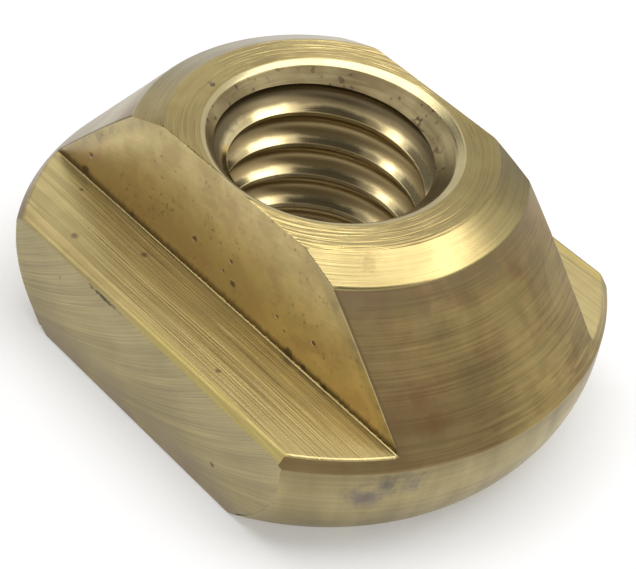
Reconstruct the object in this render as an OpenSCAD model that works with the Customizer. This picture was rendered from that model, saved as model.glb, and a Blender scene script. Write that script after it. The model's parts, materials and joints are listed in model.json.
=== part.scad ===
// Tee nut for a T-slot, turned from round brass bar and milled to a neck and two flats.
// Millimetres. +Z is the axis of the tapped hole, +X runs along the slot, Z = 0 is the underside.

/* [Base] */
// Diameter of the round base
base_d = 15; // [14:0.5:17]
// Width across the two milled flats of the base
flats_w = 11; // [10:0.1:12.5]
// Diameter of the flat underside, inside the rounded lower edge
underside_d = 13.2; // [12.2:0.1:13.8]
// Height at which the rounded lower edge meets the upright rim
lower_edge_h = 2.35; // [1.9:0.05:2.6]
// Height at which the upright rim ends and the cone starts
rim_h = 2.85; // [2.7:0.05:3.6]

/* [Cone] */
// Overall height
height = 6.55; // [6:0.05:8]
// Height of the chamfer round the top
top_chamfer_h = 0.45; // [0.2:0.05:0.8]
// Diameter where the cone meets the top chamfer
cone_top_d = 9.75; // [9:0.05:11]
// Diameter of the flat top
top_d = 8.1; // [7.2:0.05:8.8]

/* [Neck] */
// Width of the neck that slides in the slot
neck_w = 6.65; // [6.5:0.05:7.4]
// How far the middle of the neck lies from the axis of the hole, towards +Y
neck_shift = 0.13; // [0:0.01:0.3]
// Height of the two ledges beside the neck
ledge_h = 3.1; // [2.95:0.05:4.5]
// Size of the broken edge along the outside of each ledge
ledge_break = 0.2; // [0.05:0.05:0.5]

/* [Tapped hole] */
// Diameter of the plain hole, the minor diameter of an M6 thread of 1 mm pitch
bore_d = 4.92; // [4.5:0.02:5.2]
// Diameter of the countersink in the top
countersink_d = 6.44; // [5.4:0.02:6.9]
// Diameter of the countersink in the underside
under_countersink_d = 6.1; // [5.4:0.1:7]

/* [Hidden] */
$fn = 96;
// How far a cutting solid runs past the face that it cuts
clear = 1;
// Number of straight steps that make up the rounded lower edge
edge_steps = 8;
// The rounded lower edge: its horizontal reach, its radius and the angle that it turns through
edge_run = (base_d - underside_d) / 2;
edge_r = (lower_edge_h * lower_edge_h + edge_run * edge_run) / (2 * edge_run);
edge_turn = asin(lower_edge_h / edge_r);
cone_top_h = height - top_chamfer_h;

// Points up the rounded lower edge, from the underside to the upright rim
function lower_edge() = [
    for (i = [0 : edge_steps])
        let (a = edge_turn * (1 - i / edge_steps))
            [base_d / 2 - edge_r * (1 - cos(a)), lower_edge_h - edge_r * sin(a)]
];

// Half section of the turned blank
module blank_section() {
    polygon(concat(
        [[0, 0]],
        lower_edge(),
        [
            [base_d / 2, rim_h],
            [cone_top_d / 2, cone_top_h],
            [top_d / 2, height],
            [0, height]
        ]
    ));
}

module blank() {
    rotate_extrude() blank_section();
}

// Section of the milled body across the slot: the flats, the broken edges, the ledges and the neck
module milled_section() {
    half = flats_w / 2;
    polygon([
        [-half, -clear],
        [half, -clear],
        [half, ledge_h - ledge_break],
        [half - ledge_break, ledge_h],
        [neck_shift + neck_w / 2, ledge_h],
        [neck_shift + neck_w / 2, height + clear],
        [neck_shift - neck_w / 2, height + clear],
        [neck_shift - neck_w / 2, ledge_h],
        [-half + ledge_break, ledge_h],
        [-half, ledge_h - ledge_break]
    ]);
}

module milled_bar() {
    length = base_d + 2 * clear;
    translate([-length / 2, 0, 0])
        rotate([90, 0, 90])
            linear_extrude(height = length) milled_section();
}

// A countersink of 90 degrees that opens downwards from z = 0 and ends at the hole
module countersink(mouth_d) {
    depth = (mouth_d - bore_d) / 2;
    translate([0, 0, -clear])
        cylinder(h = clear + depth, d1 = mouth_d + 2 * clear, d2 = bore_d);
}

module tapped_hole() {
    translate([0, 0, -clear]) cylinder(h = height + 2 * clear, d = bore_d);
    countersink(under_countersink_d);
    translate([0, 0, height]) mirror([0, 0, 1]) countersink(countersink_d);
}

module tee_nut() {
    color("darkkhaki") difference() {
        intersection() {
            blank();
            milled_bar();
        }
        tapped_hole();
    }
}

tee_nut();
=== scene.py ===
"""A brass tee nut on a plain white ground.

The nut is one piece: a round blank, milled to two flats, two ledges and a neck, with a
countersunk M6 hole through it. Its shape is in metres, in the frame's own axes: +Z is the
axis of the hole, +X runs along the neck and Z = 0 is the underside. Its finishes are drawn
in the same axes, in millimetres.
"""

import json
import logging
import math
from contextlib import contextmanager
from dataclasses import dataclass, field, replace
from enum import Enum
from typing import Iterator, Sequence, Union

import bpy
from mathutils import Matrix, Vector


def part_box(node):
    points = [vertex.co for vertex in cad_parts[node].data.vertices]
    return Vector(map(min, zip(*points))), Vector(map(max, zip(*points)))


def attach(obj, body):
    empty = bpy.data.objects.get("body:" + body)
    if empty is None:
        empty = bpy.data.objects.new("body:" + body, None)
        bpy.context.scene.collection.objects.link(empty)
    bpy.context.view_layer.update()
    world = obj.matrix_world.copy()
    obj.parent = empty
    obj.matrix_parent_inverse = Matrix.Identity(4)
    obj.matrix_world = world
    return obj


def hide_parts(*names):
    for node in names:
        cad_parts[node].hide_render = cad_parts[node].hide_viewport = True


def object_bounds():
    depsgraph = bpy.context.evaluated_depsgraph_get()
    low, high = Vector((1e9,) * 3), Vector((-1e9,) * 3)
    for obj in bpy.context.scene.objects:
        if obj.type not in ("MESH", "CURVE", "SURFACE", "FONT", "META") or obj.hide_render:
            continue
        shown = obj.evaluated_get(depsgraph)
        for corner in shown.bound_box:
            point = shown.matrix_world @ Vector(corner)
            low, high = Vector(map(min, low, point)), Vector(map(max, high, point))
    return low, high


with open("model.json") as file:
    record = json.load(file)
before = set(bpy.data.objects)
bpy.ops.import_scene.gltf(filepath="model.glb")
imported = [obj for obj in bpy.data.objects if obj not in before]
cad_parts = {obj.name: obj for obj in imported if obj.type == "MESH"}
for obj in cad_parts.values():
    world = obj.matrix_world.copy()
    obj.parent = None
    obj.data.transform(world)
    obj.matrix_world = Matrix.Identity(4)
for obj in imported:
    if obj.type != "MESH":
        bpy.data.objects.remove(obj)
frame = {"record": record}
CAD_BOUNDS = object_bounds()

MM = 0.001
TOUCHING = 0.001 * MM
LOG = logging.getLogger("tee_nut")
Number = Union[int, float]
Amount = Union["Field", int, float]
Colour = tuple[float, float, float]
Pair = tuple[float, float]
Socket = bpy.types.NodeSocket


def brass_sizes() -> "NutSizes":
    """Reads the nut's sizes from the frame's box and mounts.

    Returns:
        The sizes.
    """
    low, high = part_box("tee_nut")
    mounts = {mount["name"]: mount for mount in frame["record"]["mounts"]}
    return NutSizes(
        base_r=(high.x - low.x) / 2,
        flats_half=(high.y - low.y) / 2,
        height=high.z - low.z,
        ledge_h=mounts["ledge_front"]["pos_m"][2],
        neck_front=mounts["neck_front"]["pos_m"][1],
        neck_back=mounts["neck_back"]["pos_m"][1],
        bore_r=mounts["tapped_hole"]["dims"]["r_mm"] * MM,
    )


@dataclass(frozen=True)
class NutSizes:
    """The nut's sizes, in metres.

    Attributes:
        base_r: Radius of the round base.
        flats_half: Distance of each flat from the axis.
        height: Overall height.
        ledge_h: Height of the two ledges.
        neck_front: Y of the neck's wall on the -Y side.
        neck_back: Y of the neck's wall on the +Y side.
        bore_r: Radius of the hole at the thread's crests.
        underside_r: Radius of the underside, inside the rounded lower edge.
        lower_edge_h: Height at which the rounded lower edge meets the upright rim.
        rim_h: Height at which the rim meets the cone.
        cone_top_r: Radius at which the cone meets the top chamfer.
        top_chamfer_h: Height of the top chamfer.
        top_r: Radius of the top.
        front_break: Size of the front ledge's broken edge, at its -X and its +X end.
        back_break: The same for the back ledge.
        edge_round: How far the other edges are rounded.
        countersink_r: Radius of the lip round the mouth of the hole.
        mouth_r: Radius at which the countersink would meet the top.
        mouth_slope: The countersink's fall over its run.
        lip_width: Width of the shallow lip round the mouth of the hole.
        lip_drop: How far that lip falls over its width.
        lip_shift: How far the lip's middle is off the axis, along X and Y.
        under_countersink_r: Radius of the countersink in the underside.
        pitch: The thread's rise in one turn.
    """

    base_r: float
    flats_half: float
    height: float
    ledge_h: float
    neck_front: float
    neck_back: float
    bore_r: float
    underside_r: float = 6.6 * MM
    lower_edge_h: float = 2.35 * MM
    rim_h: float = 2.85 * MM
    cone_top_r: float = 4.875 * MM
    top_chamfer_h: float = 0.45 * MM
    top_r: float = 4.05 * MM
    front_break: Pair = (0.05 * MM, 0.24 * MM)
    back_break: Pair = (0.04 * MM, 0.04 * MM)
    edge_round: float = 0.05 * MM
    countersink_r: float = 3.22 * MM
    mouth_r: float = 3.11 * MM
    mouth_slope: float = 1.15
    lip_width: float = 0.30 * MM
    lip_drop: float = 0.12 * MM
    lip_shift: Pair = (0.004 * MM, 0.045 * MM)
    under_countersink_r: float = 3.05 * MM
    pitch: float = 1.0 * MM

    @property
    def cone_top_h(self) -> float:
        """Height at which the cone meets the top chamfer."""
        return self.height - self.top_chamfer_h


class Picked(Enum):
    """What is selected when a mesh is opened in edit mode."""

    ALL = "SELECT"
    NONE = "DESELECT"
    AS_LEFT = ""


class Bench:
    """Blender's own modelling operators, used on one object at a time."""

    @staticmethod
    def clear_selection() -> None:
        """Deselects every object, before a primitive is added."""
        bpy.ops.object.select_all(action="DESELECT")

    @staticmethod
    def only(piece: bpy.types.Object) -> None:
        """Selects one object and makes it active.

        Args:
            piece: The object to work on.
        """
        Bench.clear_selection()
        piece.select_set(True)
        bpy.context.view_layer.objects.active = piece

    @staticmethod
    @contextmanager
    def editing(piece: bpy.types.Object, picked: Picked = Picked.ALL) -> Iterator[None]:
        """Opens one object in edit mode, and closes it again.

        Args:
            piece: The object to work on.
            picked: What of its mesh is selected.

        Yields:
            Nothing, while the object is open.
        """
        Bench.only(piece)
        bpy.ops.object.mode_set(mode="EDIT")
        if picked is not Picked.AS_LEFT:
            bpy.ops.mesh.select_all(action=picked.value)
        yield
        bpy.ops.object.mode_set(mode="OBJECT")

    @staticmethod
    def modify(piece: bpy.types.Object, kind: str, **settings: object) -> None:
        """Adds a modifier to a piece and applies it.

        Args:
            piece: The object to change.
            kind: The modifier's type.
            settings: The modifier's own properties.
        """
        Bench.only(piece)
        modifier = piece.modifiers.new(kind.lower(), kind)
        for key, value in settings.items():
            setattr(modifier, key, value)
        bpy.ops.object.modifier_apply(modifier=modifier.name)

    @staticmethod
    def name_active(name: str) -> bpy.types.Object:
        """Names the object that an operator has just added.

        Args:
            name: The name of the object and of its data.

        Returns:
            The object.
        """
        piece = bpy.context.object
        piece.name = piece.data.name = name
        return piece

    @staticmethod
    def settle_active(name: str) -> bpy.types.Object:
        """Names the primitive that has just been added, and puts its place in its mesh.

        Args:
            name: The name of the object and of its mesh.

        Returns:
            The object, at the origin.
        """
        bpy.ops.object.transform_apply(location=True, rotation=True, scale=True)
        return Bench.name_active(name)

    @staticmethod
    def stack(name: str, stations: Sequence[Pair], steps: int) -> bpy.types.Object:
        """Builds a closed turned solid by extruding a disc upwards, ring by ring.

        Args:
            name: The object's name.
            stations: Radius and height of each ring, from the bottom up.
            steps: Number of sides.

        Returns:
            The solid, with its place in its mesh.
        """
        Bench.clear_selection()
        (radius, z), *rest = stations
        bpy.ops.mesh.primitive_circle_add(
            vertices=steps, radius=radius, fill_type="NGON", location=(0, 0, z)
        )
        piece = Bench.settle_active(name)
        with Bench.editing(piece):
            for next_radius, next_z in rest:
                bpy.ops.mesh.extrude_region_move(
                    TRANSFORM_OT_translate={"value": (0, 0, next_z - z)}
                )
                ratio = next_radius / radius
                bpy.ops.transform.resize(value=(ratio, ratio, 1), center_override=(0, 0, 0))
                radius, z = next_radius, next_z
            bpy.ops.mesh.select_all(action="SELECT")
            bpy.ops.mesh.normals_make_consistent(inside=False)
        return piece

    @staticmethod
    def slice_off(piece: bpy.types.Object, point: Vector, outward: Vector) -> None:
        """Cuts away all that lies beyond a plane, and closes the cut.

        Args:
            piece: The object to cut.
            point: A point on the plane.
            outward: The plane's normal, towards the side that goes.
        """
        with Bench.editing(piece):
            bpy.ops.mesh.bisect(
                plane_co=point, plane_no=outward, use_fill=True, clear_outer=True,
                threshold=TOUCHING / 100,
            )

    @staticmethod
    def chain(name: str, points: Sequence[Vector]) -> bpy.types.Object:
        """Draws a line of edges from point to point, by extruding a single vertex.

        Args:
            name: The object's name.
            points: The points, in order.

        Returns:
            The line, with its place in its mesh.
        """
        Bench.clear_selection()
        bpy.ops.mesh.primitive_plane_add(size=1 * MM, location=(0, 0, 0))
        piece = Bench.name_active(name)
        with Bench.editing(piece):
            bpy.ops.mesh.select_mode(type="VERT")
            bpy.ops.mesh.merge(type="CENTER")
            bpy.ops.transform.translate(value=points[0])
            for last, point in zip(points, points[1:]):
                bpy.ops.mesh.extrude_vertices_move(TRANSFORM_OT_translate={"value": point - last})
        return piece

    @staticmethod
    def close_end(piece: bpy.types.Object, middle: float, side: int) -> None:
        """Closes an open end of an upright tube by drawing its rim in to a point.

        Args:
            piece: The tube.
            middle: A height between its two ends.
            side: 1 for its upper end and -1 for its lower end.
        """
        with Bench.editing(piece, Picked.NONE):
            bpy.ops.mesh.select_mode(type="VERT")
            bpy.ops.mesh.select_non_manifold(use_wire=False, use_verts=False)
        vertices = piece.data.vertices
        for vertex in vertices:
            vertex.select = vertex.select and (vertex.co.z - middle) * side > 0
        for edge in piece.data.edges:
            edge.select = all(vertices[end].select for end in edge.vertices)
        with Bench.editing(piece, Picked.AS_LEFT):
            bpy.ops.mesh.extrude_region_move()
            bpy.ops.mesh.merge(type="CENTER")

    @staticmethod
    def merge(piece: bpy.types.Object, distance: float) -> None:
        """Merges vertices that lie closer than a distance, and drops what then has no size.

        Args:
            piece: The object to clean.
            distance: The least distance that two vertices keep, in metres.
        """
        with Bench.editing(piece):
            bpy.ops.mesh.remove_doubles(threshold=distance)
            bpy.ops.mesh.dissolve_degenerate(threshold=distance / 10)

    @staticmethod
    def snap_short_ends(piece: bpy.types.Object, angle: float, reach: float) -> None:
        """Draws vertices that crowd a corner into the corner, so that its edges round evenly.

        A corner is a vertex where three or more sharp edges meet.

        Args:
            piece: The object to prepare.
            angle: The least angle between the faces of a sharp edge, in degrees.
            reach: The least length that a sharp edge at a corner keeps, in metres.
        """
        with Bench.editing(piece, Picked.NONE):
            bpy.ops.mesh.select_mode(type="EDGE")
            bpy.ops.mesh.edges_select_sharp(sharpness=math.radians(angle))
        vertices = piece.data.vertices
        ends: dict[int, list[int]] = {}
        for edge in piece.data.edges:
            if edge.select:
                first, second = edge.vertices
                ends.setdefault(first, []).append(second)
                ends.setdefault(second, []).append(first)
        corners = {index for index, others in ends.items() if len(others) >= 3}
        for corner in corners:
            for other in ends[corner]:
                gap = (vertices[other].co - vertices[corner].co).length
                if other not in corners and gap < reach:
                    vertices[other].co = vertices[corner].co
        Bench.merge(piece, TOUCHING)

    @staticmethod
    def block(name: str, low: Vector, high: Vector) -> bpy.types.Object:
        """Adds a rectangular block, as a cutting solid.

        Args:
            name: The object's name.
            low: Its lowest corner along all three axes.
            high: Its highest corner.

        Returns:
            The block, with its place in its mesh.
        """
        Bench.clear_selection()
        bpy.ops.mesh.primitive_cube_add(size=1, location=(low + high) / 2, scale=high - low)
        return Bench.settle_active(name)

    @staticmethod
    def cut(piece: bpy.types.Object, cutter: bpy.types.Object) -> None:
        """Takes a cutting solid out of a piece, and deletes the cutting solid.

        Args:
            piece: The object that is cut.
            cutter: The closed solid to take out of it.
        """
        Bench.modify(piece, "BOOLEAN", operation="DIFFERENCE", solver="EXACT", object=cutter)
        spent = cutter.data
        bpy.data.objects.remove(cutter)
        bpy.data.meshes.remove(spent)

    @staticmethod
    def round_edges(piece: bpy.types.Object, width: float, angle: float, steps: int) -> None:
        """Rounds every edge that is sharper than an angle.

        Args:
            piece: The object to finish.
            width: How far each rounding reaches, in metres.
            angle: The least angle between the faces of an edge, in degrees.
            steps: Number of faces across the rounding.
        """
        Bench.modify(
            piece, "BEVEL", limit_method="ANGLE", angle_limit=math.radians(angle), width=width,
            segments=steps, use_clamp_overlap=False, miter_outer="MITER_ARC",
        )

    @staticmethod
    def smooth(piece: bpy.types.Object, angle: float) -> None:
        """Shades a piece smooth up to an angle, with normals that follow its large faces.

        Args:
            piece: The object to finish.
            angle: The angle above which an edge stays sharp, in degrees.
        """
        Bench.resize(piece, 1 / MM)
        bpy.ops.object.shade_smooth_by_angle(angle=math.radians(angle))
        Bench.modify(piece, "WEIGHTED_NORMAL", keep_sharp=True, weight=100, thresh=0.001)
        Bench.resize(piece, MM)

    @staticmethod
    def resize(piece: bpy.types.Object, ratio: float) -> None:
        """Resizes a piece's mesh about the origin.

        Shading compares the areas of faces with fixed limits, which suit a mesh in
        millimetres, so it is done at that size.

        Args:
            piece: The object to resize.
            ratio: Its new size over its old one.
        """
        Bench.only(piece)
        piece.scale = (ratio, ratio, ratio)
        bpy.ops.object.transform_apply(location=False, rotation=False, scale=True)


@dataclass
class NutBody:
    """The nut itself: a turned blank, milled, rounded along its edges and tapped.

    Attributes:
        sizes: The nut's sizes.
        turn_steps: Number of faces round a turned surface.
        edge_steps: Number of faces across the rounded lower edge.
        sharp_angle: The least angle of an edge that is rounded, in degrees.
        corner_reach: The least length that a sharp edge keeps where it meets a corner.
        round_steps: Number of faces across a rounded edge.
        smooth_angle: The angle above which an edge is shaded as sharp, in degrees.
        clear: How far a cutting solid reaches past the body.
        under_crest: How far a countersink runs on, inside the thread's crests.
        thread_turn: How far the thread is turned about the axis, in degrees.
        thread_steps: Number of faces along one turn of the thread.
        thread_crest: Width of the crest's flat, as a share of the pitch.
        thread_bend: Where the flank starts to round into the root, as a share of the pitch.
        flank_rise: Angle between the flank and the axis, in degrees.
        root_steps: Number of faces across half a root.
        name: The piece's name.
    """

    sizes: NutSizes
    turn_steps: int = 192
    edge_steps: int = 10
    sharp_angle: float = 20.0
    corner_reach: float = 0.12 * MM
    round_steps: int = 2
    smooth_angle: float = 32.0
    clear: float = 1 * MM
    under_crest: float = 0.1 * MM
    thread_turn: float = 14.0
    thread_steps: int = 96
    thread_crest: float = 0.10
    thread_bend: float = 0.26
    flank_rise: float = 54.0
    root_steps: int = 6
    name: str = "nut_body"

    def build(self) -> bpy.types.Object:
        """Models the nut.

        Returns:
            The finished mesh object.
        """
        body = self.turn_blank()
        self.mill_flats(body)
        self.mill_ledges(body)
        self.break_ledge_edges(body)
        self.cut_countersinks(body)
        Bench.snap_short_ends(body, self.sharp_angle, self.corner_reach)
        Bench.round_edges(body, self.sizes.edge_round, self.sharp_angle, self.round_steps)
        self.tap_hole(body)
        Bench.smooth(body, self.smooth_angle)
        return body

    def turn_blank(self) -> bpy.types.Object:
        """Turns the round blank, with its rounded lower edge, cone and top chamfer.

        Returns:
            The blank.
        """
        s = self.sizes
        run = s.base_r - s.underside_r
        edge_r = (s.lower_edge_h**2 + run**2) / (2 * run)
        turn = math.asin(s.lower_edge_h / edge_r)
        stations = []
        for step in range(self.edge_steps + 1):
            angle = turn * (1 - step / self.edge_steps)
            radius = s.base_r - edge_r * (1 - math.cos(angle))
            stations.append((radius, s.lower_edge_h - edge_r * math.sin(angle)))
        stations += [(s.base_r, s.rim_h), (s.cone_top_r, s.cone_top_h), (s.top_r, s.height)]
        return Bench.stack(self.name, stations, self.turn_steps)

    def mill_flats(self, body: bpy.types.Object) -> None:
        """Slices the two flats off the blank.

        Args:
            body: The blank.
        """
        for side in (-1, 1):
            point = Vector((0, side * self.sizes.flats_half, 0))
            Bench.slice_off(body, point, Vector((0, side, 0)))

    def mill_ledges(self, body: bpy.types.Object) -> None:
        """Mills the two ledges, down to their height and in to the neck.

        Args:
            body: The blank, with its flats.
        """
        s = self.sizes
        reach = 2 * s.base_r
        steps = {"front_step": (-reach, s.neck_front), "back_step": (s.neck_back, reach)}
        for name, (low_y, high_y) in steps.items():
            low, high = Vector((-reach, low_y, s.ledge_h)), Vector((reach, high_y, reach))
            Bench.cut(body, Bench.block(name, low, high))

    def break_ledge_edges(self, body: bpy.types.Object) -> None:
        """Breaks the outer edge of each ledge at 45 degrees, wider towards one end.

        Args:
            body: The milled body.
        """
        s = self.sizes
        length, size = 3 * s.base_r, 1 * MM
        for side, (left, right) in ((-1, s.front_break), (1, s.back_break)):
            corner = Vector((0, side * s.flats_half, s.ledge_h))
            outward = Vector((0, side, 1)).normalized()
            depth = (left + right) / 2 / math.sqrt(2)
            taper = math.atan((right - left) / math.sqrt(2) / (2 * s.base_r))
            turn = Matrix.Rotation(-side * math.radians(45), 3, "X")
            turn = turn @ Matrix.Rotation(taper, 3, "Y")
            Bench.clear_selection()
            bpy.ops.mesh.primitive_cube_add(
                size=1,
                location=corner + outward * (size / 2 - depth),
                rotation=turn.to_euler(),
                scale=(length, size, size),
            )
            Bench.cut(body, Bench.settle_active("edge_break"))

    def cut_hollow(self, body: bpy.types.Object, name: str, stations: Sequence[Pair],
                   shift: Pair = (0.0, 0.0)) -> None:
        """Cuts a turned hollow in the body.

        Args:
            body: The body.
            name: The cutting solid's name.
            stations: Radius and height of each of its rings, from the bottom up.
            shift: How far it is off the axis, along X and Y.
        """
        cutter = Bench.stack(name, stations, self.turn_steps)
        with Bench.editing(cutter):
            bpy.ops.transform.translate(value=(*shift, 0))
        Bench.cut(body, cutter)

    def cut_countersinks(self, body: bpy.types.Object) -> None:
        """Cuts the countersink in the top, its shallow lip, and the one in the underside.

        Args:
            body: The milled body.
        """
        s = self.sizes
        clear, inner = self.clear, s.bore_r - self.under_crest
        low = s.height - (s.mouth_r - inner) * s.mouth_slope
        wide = s.mouth_r + clear / s.mouth_slope
        self.cut_hollow(body, "top_countersink", [(inner, low), (wide, s.height + clear)])
        lip_low = (s.countersink_r - s.lip_width * 2, s.height - s.lip_drop * 2)
        lip_high = (s.countersink_r + clear * s.lip_width / s.lip_drop, s.height + clear)
        self.cut_hollow(body, "lip", [lip_low, lip_high], s.lip_shift)
        under = [(s.under_countersink_r + clear, -clear), (inner, s.under_countersink_r - inner)]
        self.cut_hollow(body, "under_countersink", under)

    def thread_section(self) -> list[Pair]:
        """Section of the thread over one pitch, from the middle of a crest to the next.

        The flank runs straight from the crest's flat and then rounds into the root.

        Returns:
            Radius and height of each point, in metres.
        """
        s = self.sizes
        slope = math.tan(math.radians(self.flank_rise))
        crest, bend, middle = self.thread_crest / 2, self.thread_bend, 0.5
        half = [(0.0, 0.0), (crest, 0.0), ((crest + bend) / 2, slope * (bend - crest) / 2)]
        for step in range(self.root_steps + 1):
            along = step / self.root_steps * (middle - bend)
            rise = along - along * along / (2 * (middle - bend))
            half.append((bend + along, slope * (bend - crest + rise)))
        whole = half + [(1 - height, depth) for height, depth in reversed(half[:-1])]
        return [(s.bore_r + depth * s.pitch, height * s.pitch) for height, depth in whole]

    def tap_hole(self, body: bpy.types.Object) -> None:
        """Cuts the thread with a solid tap.

        The tap is the section of one pitch, carried up the hole by a screw modifier and
        closed at both ends.

        Args:
            body: The countersunk body.
        """
        s = self.sizes
        below = 2 * s.pitch
        turns = math.ceil((s.height + 2 * below) / s.pitch)
        steps = self.thread_steps * turns
        points = [Vector((radius, 0, height)) for radius, height in self.thread_section()]
        tap = Bench.chain("tap", points)
        Bench.modify(
            tap, "SCREW", axis="Z", angle=math.tau * turns, screw_offset=s.pitch * turns,
            steps=steps, render_steps=steps, use_smooth_shade=False,
        )
        Bench.merge(tap, TOUCHING / 2)
        for side in (-1, 1):
            Bench.close_end(tap, s.pitch * (turns + 1) / 2, side)
        start = self.thread_turn / 360 * s.pitch
        with Bench.editing(tap):
            bpy.ops.transform.translate(value=(0, 0, -below - start))
            bpy.ops.mesh.normals_make_consistent(inside=False)
        Bench.cut(body, tap)


class Zone(Enum):
    """The nut's surfaces, each with its own machining."""

    UNDERSIDE = "underside"
    RIM = "rim"
    CONE = "cone"
    CHAMFER = "chamfer"
    TOP = "top"
    LIP = "lip"
    COUNTERSINK = "countersink"
    THREAD = "thread"
    NECK_WALL = "neck_wall"
    LEDGE = "ledge"
    FLAT = "flat"


@dataclass(frozen=True)
class Spot:
    """A pit, speck or stain, with its place and size in millimetres.

    Attributes:
        x: Place along the neck.
        y: Place across the neck.
        z: Height.
        size: Its radius.
        core: The share of the radius inside which it is at its full strength.
        long: How many times longer it is along the neck.
    """

    x: float
    y: float
    z: float
    size: float
    core: float = 0.2
    long: float = 1.0


class Field:
    """A number that varies over a surface: a socket with Python's arithmetic."""

    def __init__(self, graph: "Graph", socket: Socket) -> None:
        """Wraps a socket.

        Args:
            graph: The graph that the socket is in.
            socket: The output that holds the number.
        """
        self.graph = graph
        self.socket = socket

    def math(self, operation: str, *others: Amount) -> "Field":
        """Adds a Math node whose first value is this field.

        Args:
            operation: The node's operation.
            others: Its other values.

        Returns:
            The result as a field.
        """
        values = dict(enumerate((self, *others)))
        node = self.graph.add("ShaderNodeMath", {"operation": operation}, values)
        return Field(self.graph, node.outputs[0])

    def __add__(self, other: Amount) -> "Field":
        """Sum."""
        return self.math("ADD", other)

    def __sub__(self, other: Amount) -> "Field":
        """Difference."""
        return self.math("SUBTRACT", other)

    def __rsub__(self, other: Number) -> "Field":
        """Difference with a plain number on the left."""
        return (self * -1) + other

    def __mul__(self, other: Amount) -> "Field":
        """Product."""
        return self.math("MULTIPLY", other)

    def __truediv__(self, other: Amount) -> "Field":
        """Quotient."""
        return self.math("DIVIDE", other)

    def __pow__(self, other: Number) -> "Field":
        """Power."""
        return self.math("POWER", other)

    __radd__ = __add__
    __rmul__ = __mul__

    def most(self, other: Amount) -> "Field":
        """The larger of two values."""
        return self.math("MAXIMUM", other)

    def rise(self, low: Number, high: Number) -> "Field":
        """A smooth step from 0 at one value to 1 at another, which may be the lower one.

        Args:
            low: The value at which the step starts.
            high: The value at which it is complete.

        Returns:
            The step as a field.
        """
        flip = high < low
        ends = (high, low) if flip else (low, high)
        values = {"Value": self, "From Min": ends[0], "From Max": ends[1]}
        values |= {"To Min": float(flip), "To Max": float(not flip)}
        settings = {"interpolation_type": "SMOOTHSTEP"}
        node = self.graph.add("ShaderNodeMapRange", settings, values)
        return Field(self.graph, node.outputs[0])

    def within(self, low: Number, high: Number, soft: Number) -> "Field":
        """1 between two values and 0 outside them.

        Args:
            low: The lower value.
            high: The upper value.
            soft: How far each end is spread.

        Returns:
            The band as a field.
        """
        return self.rise(low - soft, low + soft) * self.rise(high + soft, high - soft)


class Graph:
    """The node tree of a material or world, with one method that adds nodes."""

    def __init__(self, owner: Union[bpy.types.Material, bpy.types.World]) -> None:
        """Gives a material or world an empty node tree.

        Args:
            owner: The material or world.
        """
        owner.use_nodes = True
        self.owner = owner
        self.tree = owner.node_tree
        self.tree.nodes.clear()

    def add(self, kind: str, settings: dict, values: dict) -> bpy.types.Node:
        """Adds a node.

        Args:
            kind: The node's type.
            settings: Its own properties, which are set first.
            values: Its inputs by name or number: a field, a socket or a plain value.

        Returns:
            The node.
        """
        node = self.tree.nodes.new(kind)
        for key, value in settings.items():
            setattr(node, key, value)
        for key, value in values.items():
            socket = value.socket if isinstance(value, Field) else value
            if isinstance(socket, Socket):
                self.tree.links.new(socket, node.inputs[key])
            else:
                node.inputs[key].default_value = socket
        return node

    def output(self, shader: Socket) -> None:
        """Joins a shader to the output of the material or world."""
        kind = "World" if isinstance(self.owner, bpy.types.World) else "Material"
        self.add(f"ShaderNodeOutput{kind}", {}, {"Surface": shader})

    def vector(self, *parts: Amount) -> Socket:
        """Joins three numbers or fields to a vector."""
        return self.add("ShaderNodeCombineXYZ", {}, dict(enumerate(parts))).outputs[0]

    def vector_math(self, operation: str, values: dict) -> bpy.types.Node:
        """Adds a Vector Math node."""
        return self.add("ShaderNodeVectorMath", {"operation": operation}, values)

    def scale(self, vector: Socket, amount: Amount) -> Socket:
        """Scales a vector, or brightens or darkens a colour, by a number or a field."""
        return self.vector_math("SCALE", {0: vector, 3: amount}).outputs[0]

    def noise(self, place: Socket, scale: float = 1.0, detail: float = 2.0,
              roughness: float = 0.5, distortion: float = 0.0) -> Field:
        """Noise from 0 to 1 over a place.

        Args:
            place: The vector that it reads.
            scale: Its scale.
            detail: Number of finer layers.
            roughness: Strength of the finer layers.
            distortion: How far the pattern is pulled about.

        Returns:
            The noise as a field.
        """
        values = {"Vector": place, "Scale": scale, "Detail": detail}
        values |= {"Roughness": roughness, "Distortion": distortion}
        return Field(self, self.add("ShaderNodeTexNoise", {}, values).outputs["Fac"])

    def mix(self, first: object, second: object, share: Amount) -> Socket:
        """Mixes two colours.

        Args:
            first: The colour at share 0: a socket, or red, green and blue.
            second: The colour at share 1.
            share: The share of the second colour.

        Returns:
            The colour's socket.
        """
        ends = [c if isinstance(c, Socket) else (*c, 1.0) for c in (first, second)]
        settings = {"data_type": "RGBA", "clamp_factor": True}
        node = self.add("ShaderNodeMix", settings, {0: share, 6: ends[0], 7: ends[1]})
        return node.outputs[2]

    def paint(self, colour: Socket, *coats: tuple[object, Amount]) -> Socket:
        """Lays coats over a colour.

        Args:
            colour: The colour to start from.
            coats: Each coat's colour and its share, in order.

        Returns:
            The colour's socket.
        """
        for coat, share in coats:
            colour = self.mix(colour, coat, share)
        return colour


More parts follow.
